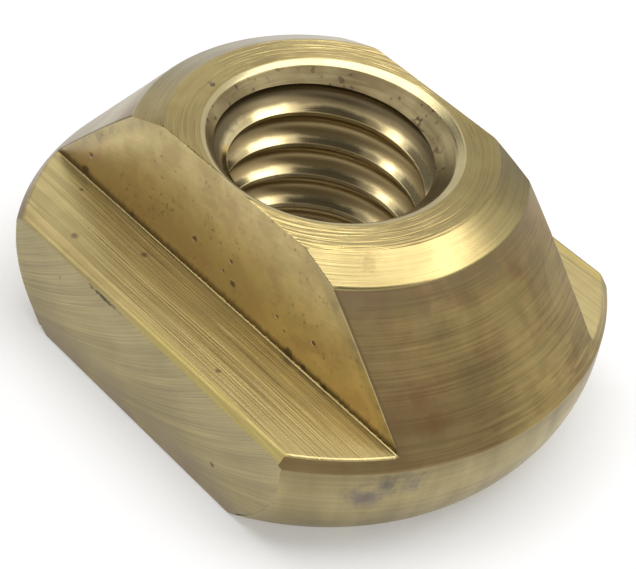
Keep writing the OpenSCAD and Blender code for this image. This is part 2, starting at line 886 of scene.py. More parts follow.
class Place:
    """Where a point lies on the nut, in millimetres, as fields."""

    def __init__(self, graph: Graph) -> None:
        """Adds the nodes that read the piece's own coordinates.

        Args:
            graph: The graph to add them to.
        """
        self.graph = graph
        source = graph.add("ShaderNodeTexCoord", {}, {}).outputs["Object"]
        self.vector = graph.scale(source, 1 / MM)
        parts = graph.add("ShaderNodeSeparateXYZ", {}, {0: self.vector}).outputs
        self.x, self.y, self.z = (Field(graph, part) for part in parts)
        self.r = (self.x * self.x + self.y * self.y) ** 0.5
        self.turn = self.x.math("ARCTAN2", self.y * -1) * math.degrees(1)

    def facing(self, direction: float) -> Field:
        """Cosine of the angle round the axis between each point and a direction.

        Args:
            direction: The direction, in degrees from -Y towards +X.

        Returns:
            The cosine as a field.
        """
        return ((self.turn - direction) * math.radians(1)).math("COSINE")

    def ring(self, reach: float, along: Field) -> Socket:
        """A vector that goes round the axis, whatever the radius.

        Args:
            reach: Radius of the circle that it goes round.
            along: Its third part.

        Returns:
            The vector's socket.
        """
        return self.graph.vector(self.x / self.r * reach, self.y / self.r * reach, along)

    def clouds(self, size: float, detail: float = 3.0) -> Field:
        """Noise from 0 to 1 whose patches are about a size across, in millimetres."""
        return self.graph.noise(self.vector, 1 / size, detail)

    def patches(self, size: float, low: Number, high: Number, detail: float = 3.0) -> Field:
        """Patches of 1 on a ground of 0.

        Args:
            size: How large the patches are, in millimetres.
            low: The value of the clouds at which a patch begins.
            high: The value at which it is complete.
            detail: Number of finer layers.

        Returns:
            The patches as a field.
        """
        return self.clouds(size, detail).rise(low, high)

    def jitter(self, size: float, reach: float, detail: float = 3.0) -> Field:
        """Noise about 0, which makes an edge uneven.

        Args:
            size: Length of its waves, in millimetres.
            reach: The difference between its ends.
            detail: Number of finer layers.

        Returns:
            The noise as a field.
        """
        return (self.clouds(size, detail) - 0.5) * reach

    def turned(self, across: Field, width: float, reach: float) -> Field:
        """Noise drawn out round the axis, as a lathe tool leaves it.

        Args:
            across: The place across the lines, in millimetres.
            width: Width of a line, in millimetres.
            reach: How often the lines change on their way round.

        Returns:
            The noise, from 0 to 1.
        """
        return self.graph.noise(self.ring(reach, across / width), 1.0, 2.0, 0.6)

    def drawn(self, along: Field, across: Field, length: float, width: float,
              detail: float = 2.0) -> Field:
        """Noise drawn out along straight or curved lines, as a milling cutter leaves it.

        Args:
            along: The place along the lines, in millimetres.
            across: The place across them.
            length: Length of a line.
            width: Width of a line.
            detail: Number of finer layers.

        Returns:
            The noise, from 0 to 1.
        """
        vector = self.graph.vector(along / length, across / width, 0.0)
        return self.graph.noise(vector, 1.0, detail, 0.6)

    def distance(self, spot: Spot) -> Field:
        """Distance from a spot's middle, in millimetres, less along X for a long spot.

        Args:
            spot: The spot.

        Returns:
            The distance as a field.
        """
        graph = self.graph
        middle, squeeze = (spot.x, spot.y, spot.z), (1 / spot.long, 1.0, 1.0)
        away = graph.vector_math("SUBTRACT", {0: self.vector, 1: middle}).outputs[0]
        away = graph.vector_math("MULTIPLY", {0: away, 1: squeeze}).outputs[0]
        return Field(graph, graph.vector_math("LENGTH", {0: away}).outputs["Value"])

    def spots(self, spots: Sequence[Spot], ragged: float = 0.5) -> Amount:
        """1 inside any of a number of spots and 0 outside, with ragged edges.

        Args:
            spots: The spots.
            ragged: How far noise moves an edge, as a share of 0.1 mm.

        Returns:
            The spots as a field.
        """
        shift = self.jitter(0.12, 0.2 * ragged, 1.0)
        total: Amount = 0.0
        for spot in spots:
            away = self.distance(spot) + shift
            total = away.rise(spot.size, spot.size * spot.core).most(total)
        return total


@dataclass(frozen=True)
class Look:
    """What a finish gives the shader at each point.

    Attributes:
        colour: Socket of the base colour.
        roughness: Field of the roughness.
        height: Field of the relief, in millimetres.
        metallic: How bare the metal is, where 0 is covered in dirt.
    """

    colour: Socket
    roughness: Field
    height: Field
    metallic: Amount = 1.0


@dataclass(frozen=True)
class Finish:
    """A brass surface and how it was machined.

    Attributes:
        zone: The surface that it is for.
        bright: Colour of the clean metal.
        dull: Colour of the tarnished metal.
        roughness: Its least roughness.
        unevenness: How much rougher it is in places.
    """

    zone: Zone
    bright: Colour
    dull: Colour
    roughness: float
    unevenness: float = 0.12

    def look(self, place: Place) -> Look:
        """Builds the pattern of the surface; each finish has its own."""
        raise NotImplementedError

    def blend(self, place: Place, dullness: Field) -> Socket:
        """Mixes the clean and the tarnished metal."""
        return place.graph.mix(self.bright, self.dull, dullness)

    def material(self) -> bpy.types.Material:
        """Makes the material.

        Returns:
            The material, named for its surface.
        """
        material = bpy.data.materials.new(f"brass_{self.zone.value}")
        graph = Graph(material)
        look = self.look(Place(graph))
        relief = {"Strength": 1.0, "Distance": MM, "Height": look.height}
        bump = graph.add("ShaderNodeBump", {}, relief)
        values = {"Base Color": look.colour, "Metallic": look.metallic}
        values |= {"Roughness": look.roughness, "Normal": bump.outputs[0]}
        graph.output(graph.add("ShaderNodeBsdfPrincipled", {}, values).outputs[0])
        return material


@dataclass(frozen=True)
class TurnedFinish(Finish):
    """Metal cut on a lathe: fine rings about the axis.

    Attributes:
        relief: Depth of the rings, in millimetres.
        line: Width of a fine ring, in millimetres.
        broad: How many times wider a broad ring is.
        changes: How often the fine and the broad rings change on their way round.
        lean: How the place across the rings changes with the radius.
        contrast: How much darker the metal is in the rings.
        cloud: Size of the patches of tarnish, in millimetres.
        cloudiness: How much the tarnish varies from place to place.
        stain: Colour of the stains.
        stains: Where the stains are.
        specks: Share of dark specks.
    """

    relief: float = 0.004
    line: float = 0.06
    broad: float = 6.0
    changes: Pair = (1.5, 1.0)
    lean: float = -0.8
    contrast: float = 0.35
    cloud: float = 1.2
    cloudiness: float = 0.5
    stain: Colour = (0.12, 0.07, 0.05)
    stains: tuple[Spot, ...] = ()
    specks: float = 0.0

    def look(self, place: Place) -> Look:
        """Draws rings, tarnish, specks and stains.

        Args:
            place: Where on the nut each point is.

        Returns:
            The surface's colour, roughness and relief.
        """
        across = place.z + place.r * self.lean
        fine = place.turned(across, self.line, self.changes[0])
        broad = place.turned(across, self.line * self.broad, self.changes[1])
        cloud = place.clouds(self.cloud)
        dullness = cloud.rise(0.3, 0.7) * self.cloudiness + (1 - broad) * self.contrast
        dullness = dullness + fine.rise(0.6, 0.35) * self.contrast
        colour = self.blend(place, dullness)
        if self.specks:
            specks = place.patches(0.22, 0.6, 0.7, 1.0) * place.patches(0.9, 0.4, 0.6)
            colour = place.graph.mix(colour, self.stain, specks * self.specks)
        if self.stains:
            stains = place.spots(self.stains, 2.0) * place.patches(0.6, 0.25, 0.6)
            colour = place.graph.mix(colour, self.stain, stains)
        height = (fine + broad * 0.5) * self.relief
        return Look(colour, cloud * self.unevenness + self.roughness, height)


@dataclass(frozen=True)
class PaintedLightFinish(TurnedFinish):
    """A turned surface with painted highlights in some directions round its axis and painted
    shade in others.

    Attributes:
        painted_light: Each direction, in degrees from -Y towards +X, and how much brighter it is
            painted there: a painted highlight above 0, painted shade below 0.
        worn: Cosines of the angles at which the painted light begins and is complete.
    """

    painted_light: tuple[Pair, ...] = ()
    worn: Pair = (0.72, 1.0)

    def look(self, place: Place) -> Look:
        """Draws the turned surface, then its painted highlights and painted shade.

        Args:
            place: Where on the nut each point is.

        Returns:
            The surface's colour, roughness and relief.
        """
        base = super().look(place)
        # Painted light: brighter in some directions as painted highlights, darker in others as
        # painted shade.
        light = sum((place.facing(way).rise(*self.worn) * painted_light for way, painted_light in self.painted_light), 1.0)
        return replace(base, colour=place.graph.scale(base.colour, light))


@dataclass(frozen=True)
class ConeFinish(TurnedFinish):
    """The turned cone, brown with handling, with darker patches down its slope, painted shade at
    the front and at the back, a painted reflection beside the neck's -X end and a painted sheen
    stripe.

    Directions are in degrees from -Y towards +X, and places in millimetres. A pair is where
    a colour begins and where it is complete.

    Attributes:
        dark: Colour of the patches, of the painted shade at the back and of the edge beside the
            neck's wall.
        olive: Colour of the greenish tarnish.
        red: Colour of the reddish tarnish.
        brown: Colour of the painted shade towards the front, and of the metal low down at the
            front.
        painted_reflection: Colour of the painted reflection beside the neck's -X end.
        gold: Colour of the painted sheen stripe, and of the worn metal towards the foot.
        shoulder: Colour of the metal under the chamfer.
        reddened: Where the tarnish is red.
        blotches: Where the patches are darkest.
        wander: How far the colours that depend on a direction wander, in degrees.
        brown_shade_turn: Directions of the painted shade at the front.
        dark_shade_turn: Directions of the painted shade at the back.
        painted_reflection_turn: Both ends of the painted reflection, and how soft they are.
        sheen_turn: Both ends of the painted sheen stripe, and how soft they are.
        low_z: Heights of the brown low down.
        low_y: Its places across the neck.
        shoulder_z: Heights of the shoulder.
        foot_z: Heights of the worn foot.
        foot_y: Its places across the neck.
        edge_y: Distances from the axis of the edge beside the front wall.
        edge_z: Heights of that edge.
    """

    dark: Colour = (0.145, 0.11, 0.052)
    olive: Colour = (0.28, 0.225, 0.09)
    red: Colour = (0.185, 0.09, 0.045)
    brown: Colour = (0.165, 0.112, 0.052)
    painted_reflection: Colour = (0.60, 0.54, 0.40)
    gold: Colour = (0.52, 0.40, 0.15)
    shoulder: Colour = (0.20, 0.14, 0.09)
    reddened: tuple[Spot, ...] = ()
    blotches: tuple[Spot, ...] = ()
    wander: float = 20.0
    brown_shade_turn: Pair = (76.0, 56.0)
    dark_shade_turn: Pair = (106.0, 120.0)
    painted_reflection_turn: tuple[float, float, float] = (-85.0, -52.0, 10.0)
    sheen_turn: tuple[float, float, float] = (93.0, 104.0, 5.0)
    low_z: Pair = (5.4, 4.0)
    low_y: Pair = (1.4, -0.6)
    shoulder_z: Pair = (5.6, 6.5)
    foot_z: Pair = (5.3, 3.9)
    foot_y: Pair = (-1.6, 0.4)
    edge_y: Pair = (3.11, 3.15)
    edge_z: Pair = (3.05, 3.15)

    def look(self, place: Place) -> Look:
        """Draws the turned surface, then its patches, painted shade, painted reflection, painted
        sheen, red tarnish and worn foot.

        Args:
            place: Where on the nut each point is.

        Returns:
            The surface's colour, roughness and relief.
        """
        graph = place.graph
        base = super().look(place)
        streaks = graph.noise(place.ring(3, place.z * 0.5), 1.0, 3.0, 0.6, 1.0)
        turn = place.turn + (streaks - 0.5) * self.wander
        low = (place.z + place.clouds(0.9)).rise(*self.low_z)
        low = low * (place.y + place.clouds(1.4)).rise(*self.low_y)
        shoulder = (place.z + place.clouds(0.8) * 0.8).rise(*self.shoulder_z)
        red = place.patches(0.9, 0.52, 0.75) * 0.3
        red = red.most(place.spots(self.reddened, 2.0) * 0.5)
        foot = (place.z + place.clouds(1.1) * 1.2).rise(*self.foot_z) * place.y.rise(*self.foot_y)
        worn = place.turned(place.z - place.r * 0.8, 0.12, 4.0).rise(0.48, 0.62)
        edge = (place.y * -1).rise(*self.edge_y) * place.z.rise(*self.edge_z)
        colour = graph.paint(
            base.colour,
            (self.dark, streaks.rise(0.42, 0.8) * 0.6),
            # Painted shade: darker towards the front and towards the back.
            (self.brown, turn.rise(*self.brown_shade_turn) * 0.6),
            (self.dark, turn.rise(*self.dark_shade_turn) * 0.3),
            # Painted reflection of the white room at a grazing angle, beside the neck's -X end.
            (self.painted_reflection, turn.within(*self.painted_reflection_turn) * 0.5),
            # Painted sheen: a brighter stripe down the cone.
            (self.gold, turn.within(*self.sheen_turn) * 0.3),
            (self.olive, place.patches(0.75, 0.5, 0.68) * 0.4),
            (self.dark, place.spots(self.blotches, 1.5) * 0.5),
            (self.brown, low * 0.5),
            (self.shoulder, shoulder * 0.5),
            (self.red, red),
            (self.gold, foot * worn * 0.5),
            (self.dark, edge * 0.6),
        )
        return replace(base, colour=colour, roughness=base.roughness + edge * 0.15)


@dataclass(frozen=True)
class RimFinish(TurnedFinish):
    """The upright rim, turned, with faint upright bands, a bluish smudge, and painted shade
    towards its top.

    Attributes:
        shaded_z: Heights at which the painted shade is darkest and the metal brightest, in
            millimetres.
    """

    shaded_z: Pair = (2.9, 1.9)

    def look(self, place: Place) -> Look:
        """Draws the turned surface, then its upright bands and painted shade.

        Args:
            place: Where on the nut each point is.

        Returns:
            The surface's colour, roughness and relief.
        """
        graph = place.graph
        base = super().look(place)
        bands = graph.noise(place.ring(16, place.z * 0.25), 1.0, 2.0)
        colour = graph.scale(base.colour, bands * 0.5 + 0.75)
        # Painted shade: darker towards the top of the rim.
        colour = graph.scale(colour, place.z.rise(*self.shaded_z) * 0.32 + 0.72)
        return replace(base, colour=colour)


@dataclass(frozen=True)
class ThreadFinish(TurnedFinish):
    """The tapped thread, with worn crests, dirt in its roots, painted shade in the roots near the
    mouth, and painted shade over one side of the hole.

    Attributes:
        crest_r: Radius of the crests, in millimetres.
        crest_depth: How far outside it the worn crests begin and are complete.
        dirt_depth: How far outside it the dirt begins and is complete.
        dirt: Colour of the dirt.
        painted_shade: Colour of the painted shade, in the roots near the mouth of the hole and
            over the painted side.
        mouth_z: Heights of the painted shade near the mouth and of the dirt below it, in
            millimetres.
        painted_shade_at: Direction of the side whose crests and flanks are painted darker as
            painted shade, in degrees from -Y towards +X.
        painted_shade_turn: Cosines of the angles from there at which it begins and is complete.
    """

    crest_r: float = 2.46
    crest_depth: Pair = (0.03, 0.0)
    dirt_depth: Pair = (0.10, 0.26)
    dirt: Colour = (0.42, 0.31, 0.14)
    painted_shade: Colour = (0.095, 0.068, 0.032)
    mouth_z: Pair = (5.9, 4.3)
    painted_shade_at: float = -138.0
    painted_shade_turn: Pair = (0.78, 0.94)

    def look(self, place: Place) -> Look:
        """Draws the tapped surface, then its dirty roots, its painted shade and its worn crests.

        Args:
            place: Where on the nut each point is.

        Returns:
            The surface's colour, roughness, relief and bareness.
        """
        base = super().look(place)
        depth = place.r - self.crest_r
        dirty = (depth + place.jitter(0.5, 0.12)).rise(*self.dirt_depth)
        # Painted shade over the crests and flanks on one side of the hole.
        dull = (place.facing(self.painted_shade_at) + place.jitter(0.8, 0.1)).rise(*self.painted_shade_turn)
        # Painted shade in the roots near the mouth, fading to the dirt's own colour further down.
        dirt = place.graph.mix(self.painted_shade, self.dirt, place.z.rise(*self.mouth_z))
        painted_shade_share = dull * (1 - dirty) * 0.8
        colour = place.graph.paint(base.colour, (dirt, dirty * 0.9), (self.painted_shade, painted_shade_share))
        roughness = base.roughness + dirty * 0.25 + depth.rise(*self.crest_depth) * 0.25
        return replace(base, colour=colour, roughness=roughness, metallic=1 - dirty * 0.2)


@dataclass(frozen=True)
class MilledFinish(Finish):
    """Metal cut by a face mill: arcs that sweep across a flat face.

    Attributes:
        sweep: Radius of the cutter's path, in millimetres.
        middle: Height of the path's centre.
        relief: Depth of the arcs.
        fine: Length and width of the fine arcs.
        broad: Length and width of the broad arcs.
        light: Length and width of the bright arcs.
        cloud: Size of the patches of tarnish.
        edge_tint: Colour of the purplish band towards the lower edge.
        tint_z: Heights at which that band begins and is complete.
        pit_dirt: Colour of the pits.
        pits: Small pits in the face.
        score_dirt: Colour of the scores.
        scores: Dark scores along the face's upper edge.
    """

    sweep: float = 12.0
    middle: float = 11.9
    relief: float = 0.004
    fine: Pair = (3.0, 0.05)
    broad: Pair = (4.0, 0.6)
    light: Pair = (2.5, 0.06)
    cloud: float = 1.8
    edge_tint: Colour = (0.30, 0.24, 0.19)
    tint_z: Pair = (1.2, 0.2)
    pit_dirt: Colour = (0.10, 0.06, 0.05)
    pits: tuple[Spot, ...] = ()
    score_dirt: Colour = (0.06, 0.05, 0.03)
    scores: tuple[Spot, ...] = ()

    def look(self, place: Place) -> Look:
        """Draws the cutter's arcs, and a purplish band towards the lower edge.

        Args:
            place: Where on the nut each point is.

        Returns:
            The surface's colour, roughness and relief.
        """
        graph = place.graph
        drop = place.z - self.middle
        across = place.x - (self.sweep**2 - drop * drop) ** 0.5
        fine = place.drawn(place.z, across, *self.fine)
        broad = place.drawn(place.z, across, *self.broad)
        light = place.drawn(place.z, across, *self.light, 1.0).rise(0.6, 0.75)
        cloud = place.clouds(self.cloud)
        dullness = cloud.rise(0.35, 0.7) * 0.3 + fine.rise(0.6, 0.35) * 0.6
        dullness = dullness + broad.rise(0.6, 0.35) * 0.25
        low = place.z.rise(*self.tint_z) * place.patches(1.0, 0.3, 0.6)
        colour = graph.paint(
            graph.scale(self.blend(place, dullness), light * 0.28 + 1),
            (self.edge_tint, low * 0.6),
            (self.pit_dirt, place.spots(self.pits) * 0.8),
            (self.score_dirt, place.spots(self.scores, 0.4) * 0.85),
        )
        height = (fine + broad * 0.5) * self.relief
        return Look(colour, cloud * self.unevenness + self.roughness, height)


@dataclass(frozen=True)
class LedgeFinish(Finish):
    """The ledges, scored along their length by the side of the cutter.

    Attributes:
        relief: Depth of the scores, in millimetres.
        warp: How far the lines stray from straight.
        waves: Length and width of the waves in which they stray.
        fine: Length and width of the fine lines.
        broad: Length and width of the broad lines.
        glint: Length and width of the bright lines.
        scored: Length and width of the dark lines.
        cloud: Size of the patches of tarnish.
        edge_tint: Colour of the metal along the broken edge.
        edge_side: Distances from the axis at which the broken edge begins and is complete.
        edge_taper: How much nearer to the axis it is for each millimetre towards +X.
        tint_x: Places along the neck at which that colour begins and is complete.
        lines_apart: How far the dark lines are shifted, so that they miss the bright ones.
        glints: Bright scores.
        scores: Dark scores.
        pit_dirt: Colour of the pits.
        pits: Small pits.
    """

    relief: float = 0.008
    warp: float = 0.25
    waves: Pair = (7.0, 4.0)
    fine: Pair = (5.0, 0.045)
    broad: Pair = (9.0, 0.28)
    glint: Pair = (3.0, 0.06)
    scored: Pair = (4.0, 0.07)
    cloud: float = 1.2
    edge_tint: Colour = (0.43, 0.35, 0.13)
    edge_side: Pair = (5.1, 5.25)
    edge_taper: float = -0.02
    tint_x: Pair = (-1.5, 0.6)
    lines_apart: float = 7.3
    glints: tuple[Spot, ...] = ()
    scores: tuple[Spot, ...] = ()
    pit_dirt: Colour = (0.16, 0.09, 0.07)
    pits: tuple[Spot, ...] = ()

    def look(self, place: Place) -> Look:
        """Draws score lines along the ledge, with a yellow band at its outer edge.

        Args:
            place: Where on the nut each point is.

        Returns:
            The surface's colour, roughness and relief.
        """
        graph = place.graph
        side = place.y.math("ABSOLUTE")
        across = side + place.drawn(place.x, side, *self.waves, 0.0) * self.warp
        fine = place.drawn(place.x, across, *self.fine)
        broad = place.drawn(place.x, across, *self.broad)
        cloud = place.clouds(self.cloud)
        dullness = cloud.rise(0.4, 0.75) * 0.3 + fine.rise(0.62, 0.35) * 0.4
        dullness = dullness + broad.rise(0.6, 0.4) * 0.4
        glint = place.drawn(place.x, across, *self.glint, 1.0).rise(0.66, 0.8)
        glint = glint.most(place.spots(self.glints, 0.1))
        scored = place.drawn(place.x, across + self.lines_apart, *self.scored, 1.0)
        scored = scored.rise(0.66, 0.8) * 0.5
        scored = scored.most(place.spots(self.scores, 0.1) * 0.8)
        outer = side + place.x * self.edge_taper + place.jitter(0.4, 0.2)
        outer = outer.rise(*self.edge_side)
        colour = graph.scale(self.blend(place, dullness), glint * 0.45 + 1)
        colour = graph.paint(
            graph.scale(colour, 1 - scored * 0.5),
            (self.edge_tint, outer * place.x.rise(*self.tint_x) * 0.8),
            (self.pit_dirt, place.spots(self.pits) * 0.8),
        )
        roughness = cloud * self.unevenness + self.roughness + outer * 0.25
        return Look(colour, roughness, (fine + broad) * self.relief)


@dataclass(frozen=True)
class WallFinish(Finish):
    """The neck's walls: smoother, pitted, redder low down with a painted reflection of the ledge,
    and darker at the foot with a painted shadow.

    Places are in millimetres. A pair is where a colour begins and where it is complete.

    Attributes:
        unevenness: How much rougher it is in places.
        relief: Depth of the tool marks.
        marks: Length and width of the tool marks.
        slant: How far the tool marks rise for each millimetre towards +X.
        cloud: Size of the patches of tarnish.
        pit_depth: Depth of the pits.
        foot: Colour of the painted shadow along the foot.
        burr: Colour of the burr that stands up from the ledge.
        warm_reflection: Colour of the painted reflection of the ledge low down.
        gold: Colour of that painted reflection towards the +X end.
        olive: Colour of the greenish tarnish.
        rust: Colour of the reddish tarnish.
        rubbed: Colour of the edge that meets the cone.
        pit_dirt: Colour of the pits.
        speck_dirt: Colour of the specks.
        pits: Where the pits are.
        low_z: Heights of the painted reflection.
        gold_x: Places along the neck at which the painted reflection turns gold.
        foot_z: Heights of the painted shadow along the foot.
        burr_z: Heights of the burr.
        burr_x: Places of the burr along the neck.
        cone_lean: How much the radius of the cone falls for each millimetre of height.
        cone_foot: Height of the cone's foot.
        rubbed_r: Radii of the rubbed edge, measured down the cone to its foot.
    """

    unevenness: float = 0.15
    relief: float = 0.003
    marks: Pair = (1.4, 0.07)
    slant: float = 0.3
    cloud: float = 0.7
    pit_depth: float = 0.02
    foot: Colour = (0.10, 0.065, 0.03)
    burr: Colour = (0.52, 0.43, 0.21)
    warm_reflection: Colour = (0.43, 0.32, 0.19)
    gold: Colour = (0.62, 0.46, 0.23)
    olive: Colour = (0.47, 0.40, 0.19)
    rust: Colour = (0.44, 0.30, 0.165)
    rubbed: Colour = (0.31, 0.26, 0.145)
    pit_dirt: Colour = (0.08, 0.055, 0.04)
    speck_dirt: Colour = (0.20, 0.14, 0.08)
    pits: tuple[Spot, ...] = ()
    low_z: Pair = (5.6, 3.9)
    gold_x: Pair = (0.2, 3.8)
    foot_z: Pair = (3.30, 3.07)
    burr_z: Pair = (3.045, 3.02)
    burr_x: Pair = (-2.5, -0.5)
    cone_lean: float = 2.625 / 3.25
    cone_foot: float = 2.85
    rubbed_r: Pair = (7.0, 7.25)

    def look(self, place: Place) -> Look:
        """Draws faint slanting tool marks, pits, a painted reflection of the ledge low down, and
        a painted shadow along the foot with a ragged burr.

        Args:
            place: Where on the nut each point is.

        Returns:
            The surface's colour, roughness and relief.
        """
        graph = place.graph
        marks = place.drawn(place.x, place.z - place.x * self.slant, *self.marks)
        cloud = place.clouds(self.cloud, 4.0)
        dullness = cloud.rise(0.35, 0.65) * 0.8 + marks.rise(0.65, 0.4) * 0.2
        low = (place.z + cloud * 1.2).rise(*self.low_z)
        gold = (place.x + place.clouds(0.9) * 1.5).rise(*self.gold_x)
        tinge = graph.noise(place.vector, 0.9, 3.0, 0.6, 0.8)
        to_cone = (place.z - self.cone_foot) * self.cone_lean + place.r
        rubbed = to_cone.rise(*self.rubbed_r) * (place.patches(0.45, 0.5, 0.7, 2.0) * 0.5 + 0.35)
        uneven = place.z - graph.noise(graph.vector(place.x, 0.0, 0.0), 6.0, 2.0) * 0.2
        burr = uneven.rise(*self.burr_z) * place.x.rise(*self.burr_x)
        pits = place.spots(self.pits)
        specks = place.patches(0.13, 0.62, 0.78, 1.0) * place.patches(1.0, 0.4, 0.6)
        colour = graph.paint(
            self.blend(place, dullness),
            # Painted reflection: light from the ledge, low down on the wall.
            (graph.mix(self.warm_reflection, self.gold, gold), low * 0.8),
            (self.olive, tinge.rise(0.5, 0.65) * 0.4),
            (self.rust, tinge.rise(0.46, 0.34) * 0.45),
            (self.rubbed, rubbed),
            # Painted shadow along the foot, in the crease with the ledge.
            (self.foot, uneven.rise(*self.foot_z) * 0.85),
            (self.burr, burr),
            (self.pit_dirt, pits * 0.85),
            (self.speck_dirt, specks * 0.7),
        )
        height = marks * self.relief - pits * self.pit_depth
        return Look(colour, cloud * self.unevenness + self.roughness, height)


@dataclass
class Dresser:
    """Sorts the nut's faces into zones and gives each zone its finish.

    Attributes:
        sizes: The nut's sizes.
        finishes: One finish for each zone.
        near: How far a face's middle may be from the surface that it belongs to.
        level: The least upward part of the normal of a rounded face that counts as level.
        top_level: The same for a face of the top itself.
        lip_level: The same for a face of the lip.
        mouth_level: The same for a face of the countersink.
        ledge_level: The same for a face of a ledge or of its broken edge.
        upright: The least sideways part of the normal of a flat or wall.
    """

    sizes: NutSizes
    finishes: Sequence[Finish]
    near: float = 0.06 * MM
    level: float = 0.9
    top_level: float = 0.98
    lip_level: float = 0.85
    mouth_level: float = 0.45
    ledge_level: float = 0.67
    upright: float = 0.8

    def zone_in_hole(self, centre: Vector, normal: Vector) -> Zone:
        """Names the surface of the hole that a face belongs to.

        Args:
            centre: The face's middle.
            normal: The face's outward normal.

        Returns:
            The face's zone.
        """
        s = self.sizes
        radius = math.hypot(centre.x, centre.y)
        lip_fall = (s.countersink_r + self.near - radius) * s.lip_drop / s.lip_width
        mouth_fall = (s.mouth_r - radius) * s.mouth_slope
        if centre.z <= s.height - max(mouth_fall, lip_fall) - self.near / 2:
            return Zone.THREAD
        if normal.z > self.lip_level:
            return Zone.LIP
        return Zone.COUNTERSINK if normal.z > self.mouth_level else Zone.THREAD

    def zone_of(self, centre: Vector, normal: Vector) -> Zone:
        """Names the surface that a face belongs to.

        Args:
            centre: The face's middle.
            normal: The face's outward normal.

        Returns:
            The face's zone.
        """
        s, near = self.sizes, self.near
        inwards = normal.x * centre.x + normal.y * centre.y < 0
        upright = abs(normal.y) > self.upright
        beside_neck = centre.y < s.neck_front or centre.y > s.neck_back
        if normal.z < -self.level:
            return Zone.UNDERSIDE
        if centre.z > s.height - near / 10 and normal.z > self.top_level:
            return Zone.TOP
        if inwards and math.hypot(centre.x, centre.y) < s.countersink_r + s.lip_width / 2:
            return self.zone_in_hole(centre, normal)
        if upright and abs(centre.y) > s.flats_half - near:
            return Zone.FLAT
        if centre.z > s.height - near and normal.z > self.level:
            return Zone.TOP
        if upright and s.neck_front - near < centre.y < s.neck_back + near:
            return Zone.NECK_WALL
        ledge_low = s.ledge_h - s.front_break[1] - near
        if beside_neck and normal.z > self.ledge_level and centre.z > ledge_low:
            return Zone.LEDGE
        if centre.z > s.cone_top_h - near / 2:
            return Zone.CHAMFER
        return Zone.CONE if centre.z > s.rim_h - near / 2 else Zone.RIM

    def dress(self, body: bpy.types.Object) -> None:
        """Gives the nut its materials.

        Args:
            body: The nut's mesh object.
        """
        body.data.materials.clear()
        slots = {}
        for index, finish in enumerate(self.finishes):
            body.data.materials.append(finish.material())
            slots[finish.zone] = index
        for face in body.data.polygons:
            face.material_index = slots[self.zone_of(face.center, face.normal)]


@dataclass(frozen=True)
class Panel:
    """A flat lamp or card that faces the nut, with its lengths in nut lengths.

    Attributes:
        name: Its name.
        azimuth: Its azimuth from -Y, in degrees.
        elevation: Its height above the horizon, in degrees.
        distance: Its distance.
        length: Its level side.
        width: Its other side.
        brightness: How bright its face is, where 1 is white.
        slide: How far it is moved along its length.
    """

    name: str
    azimuth: float
    elevation: float
    distance: float
    length: float
    width: float
    brightness: float
    slide: float = 0.0


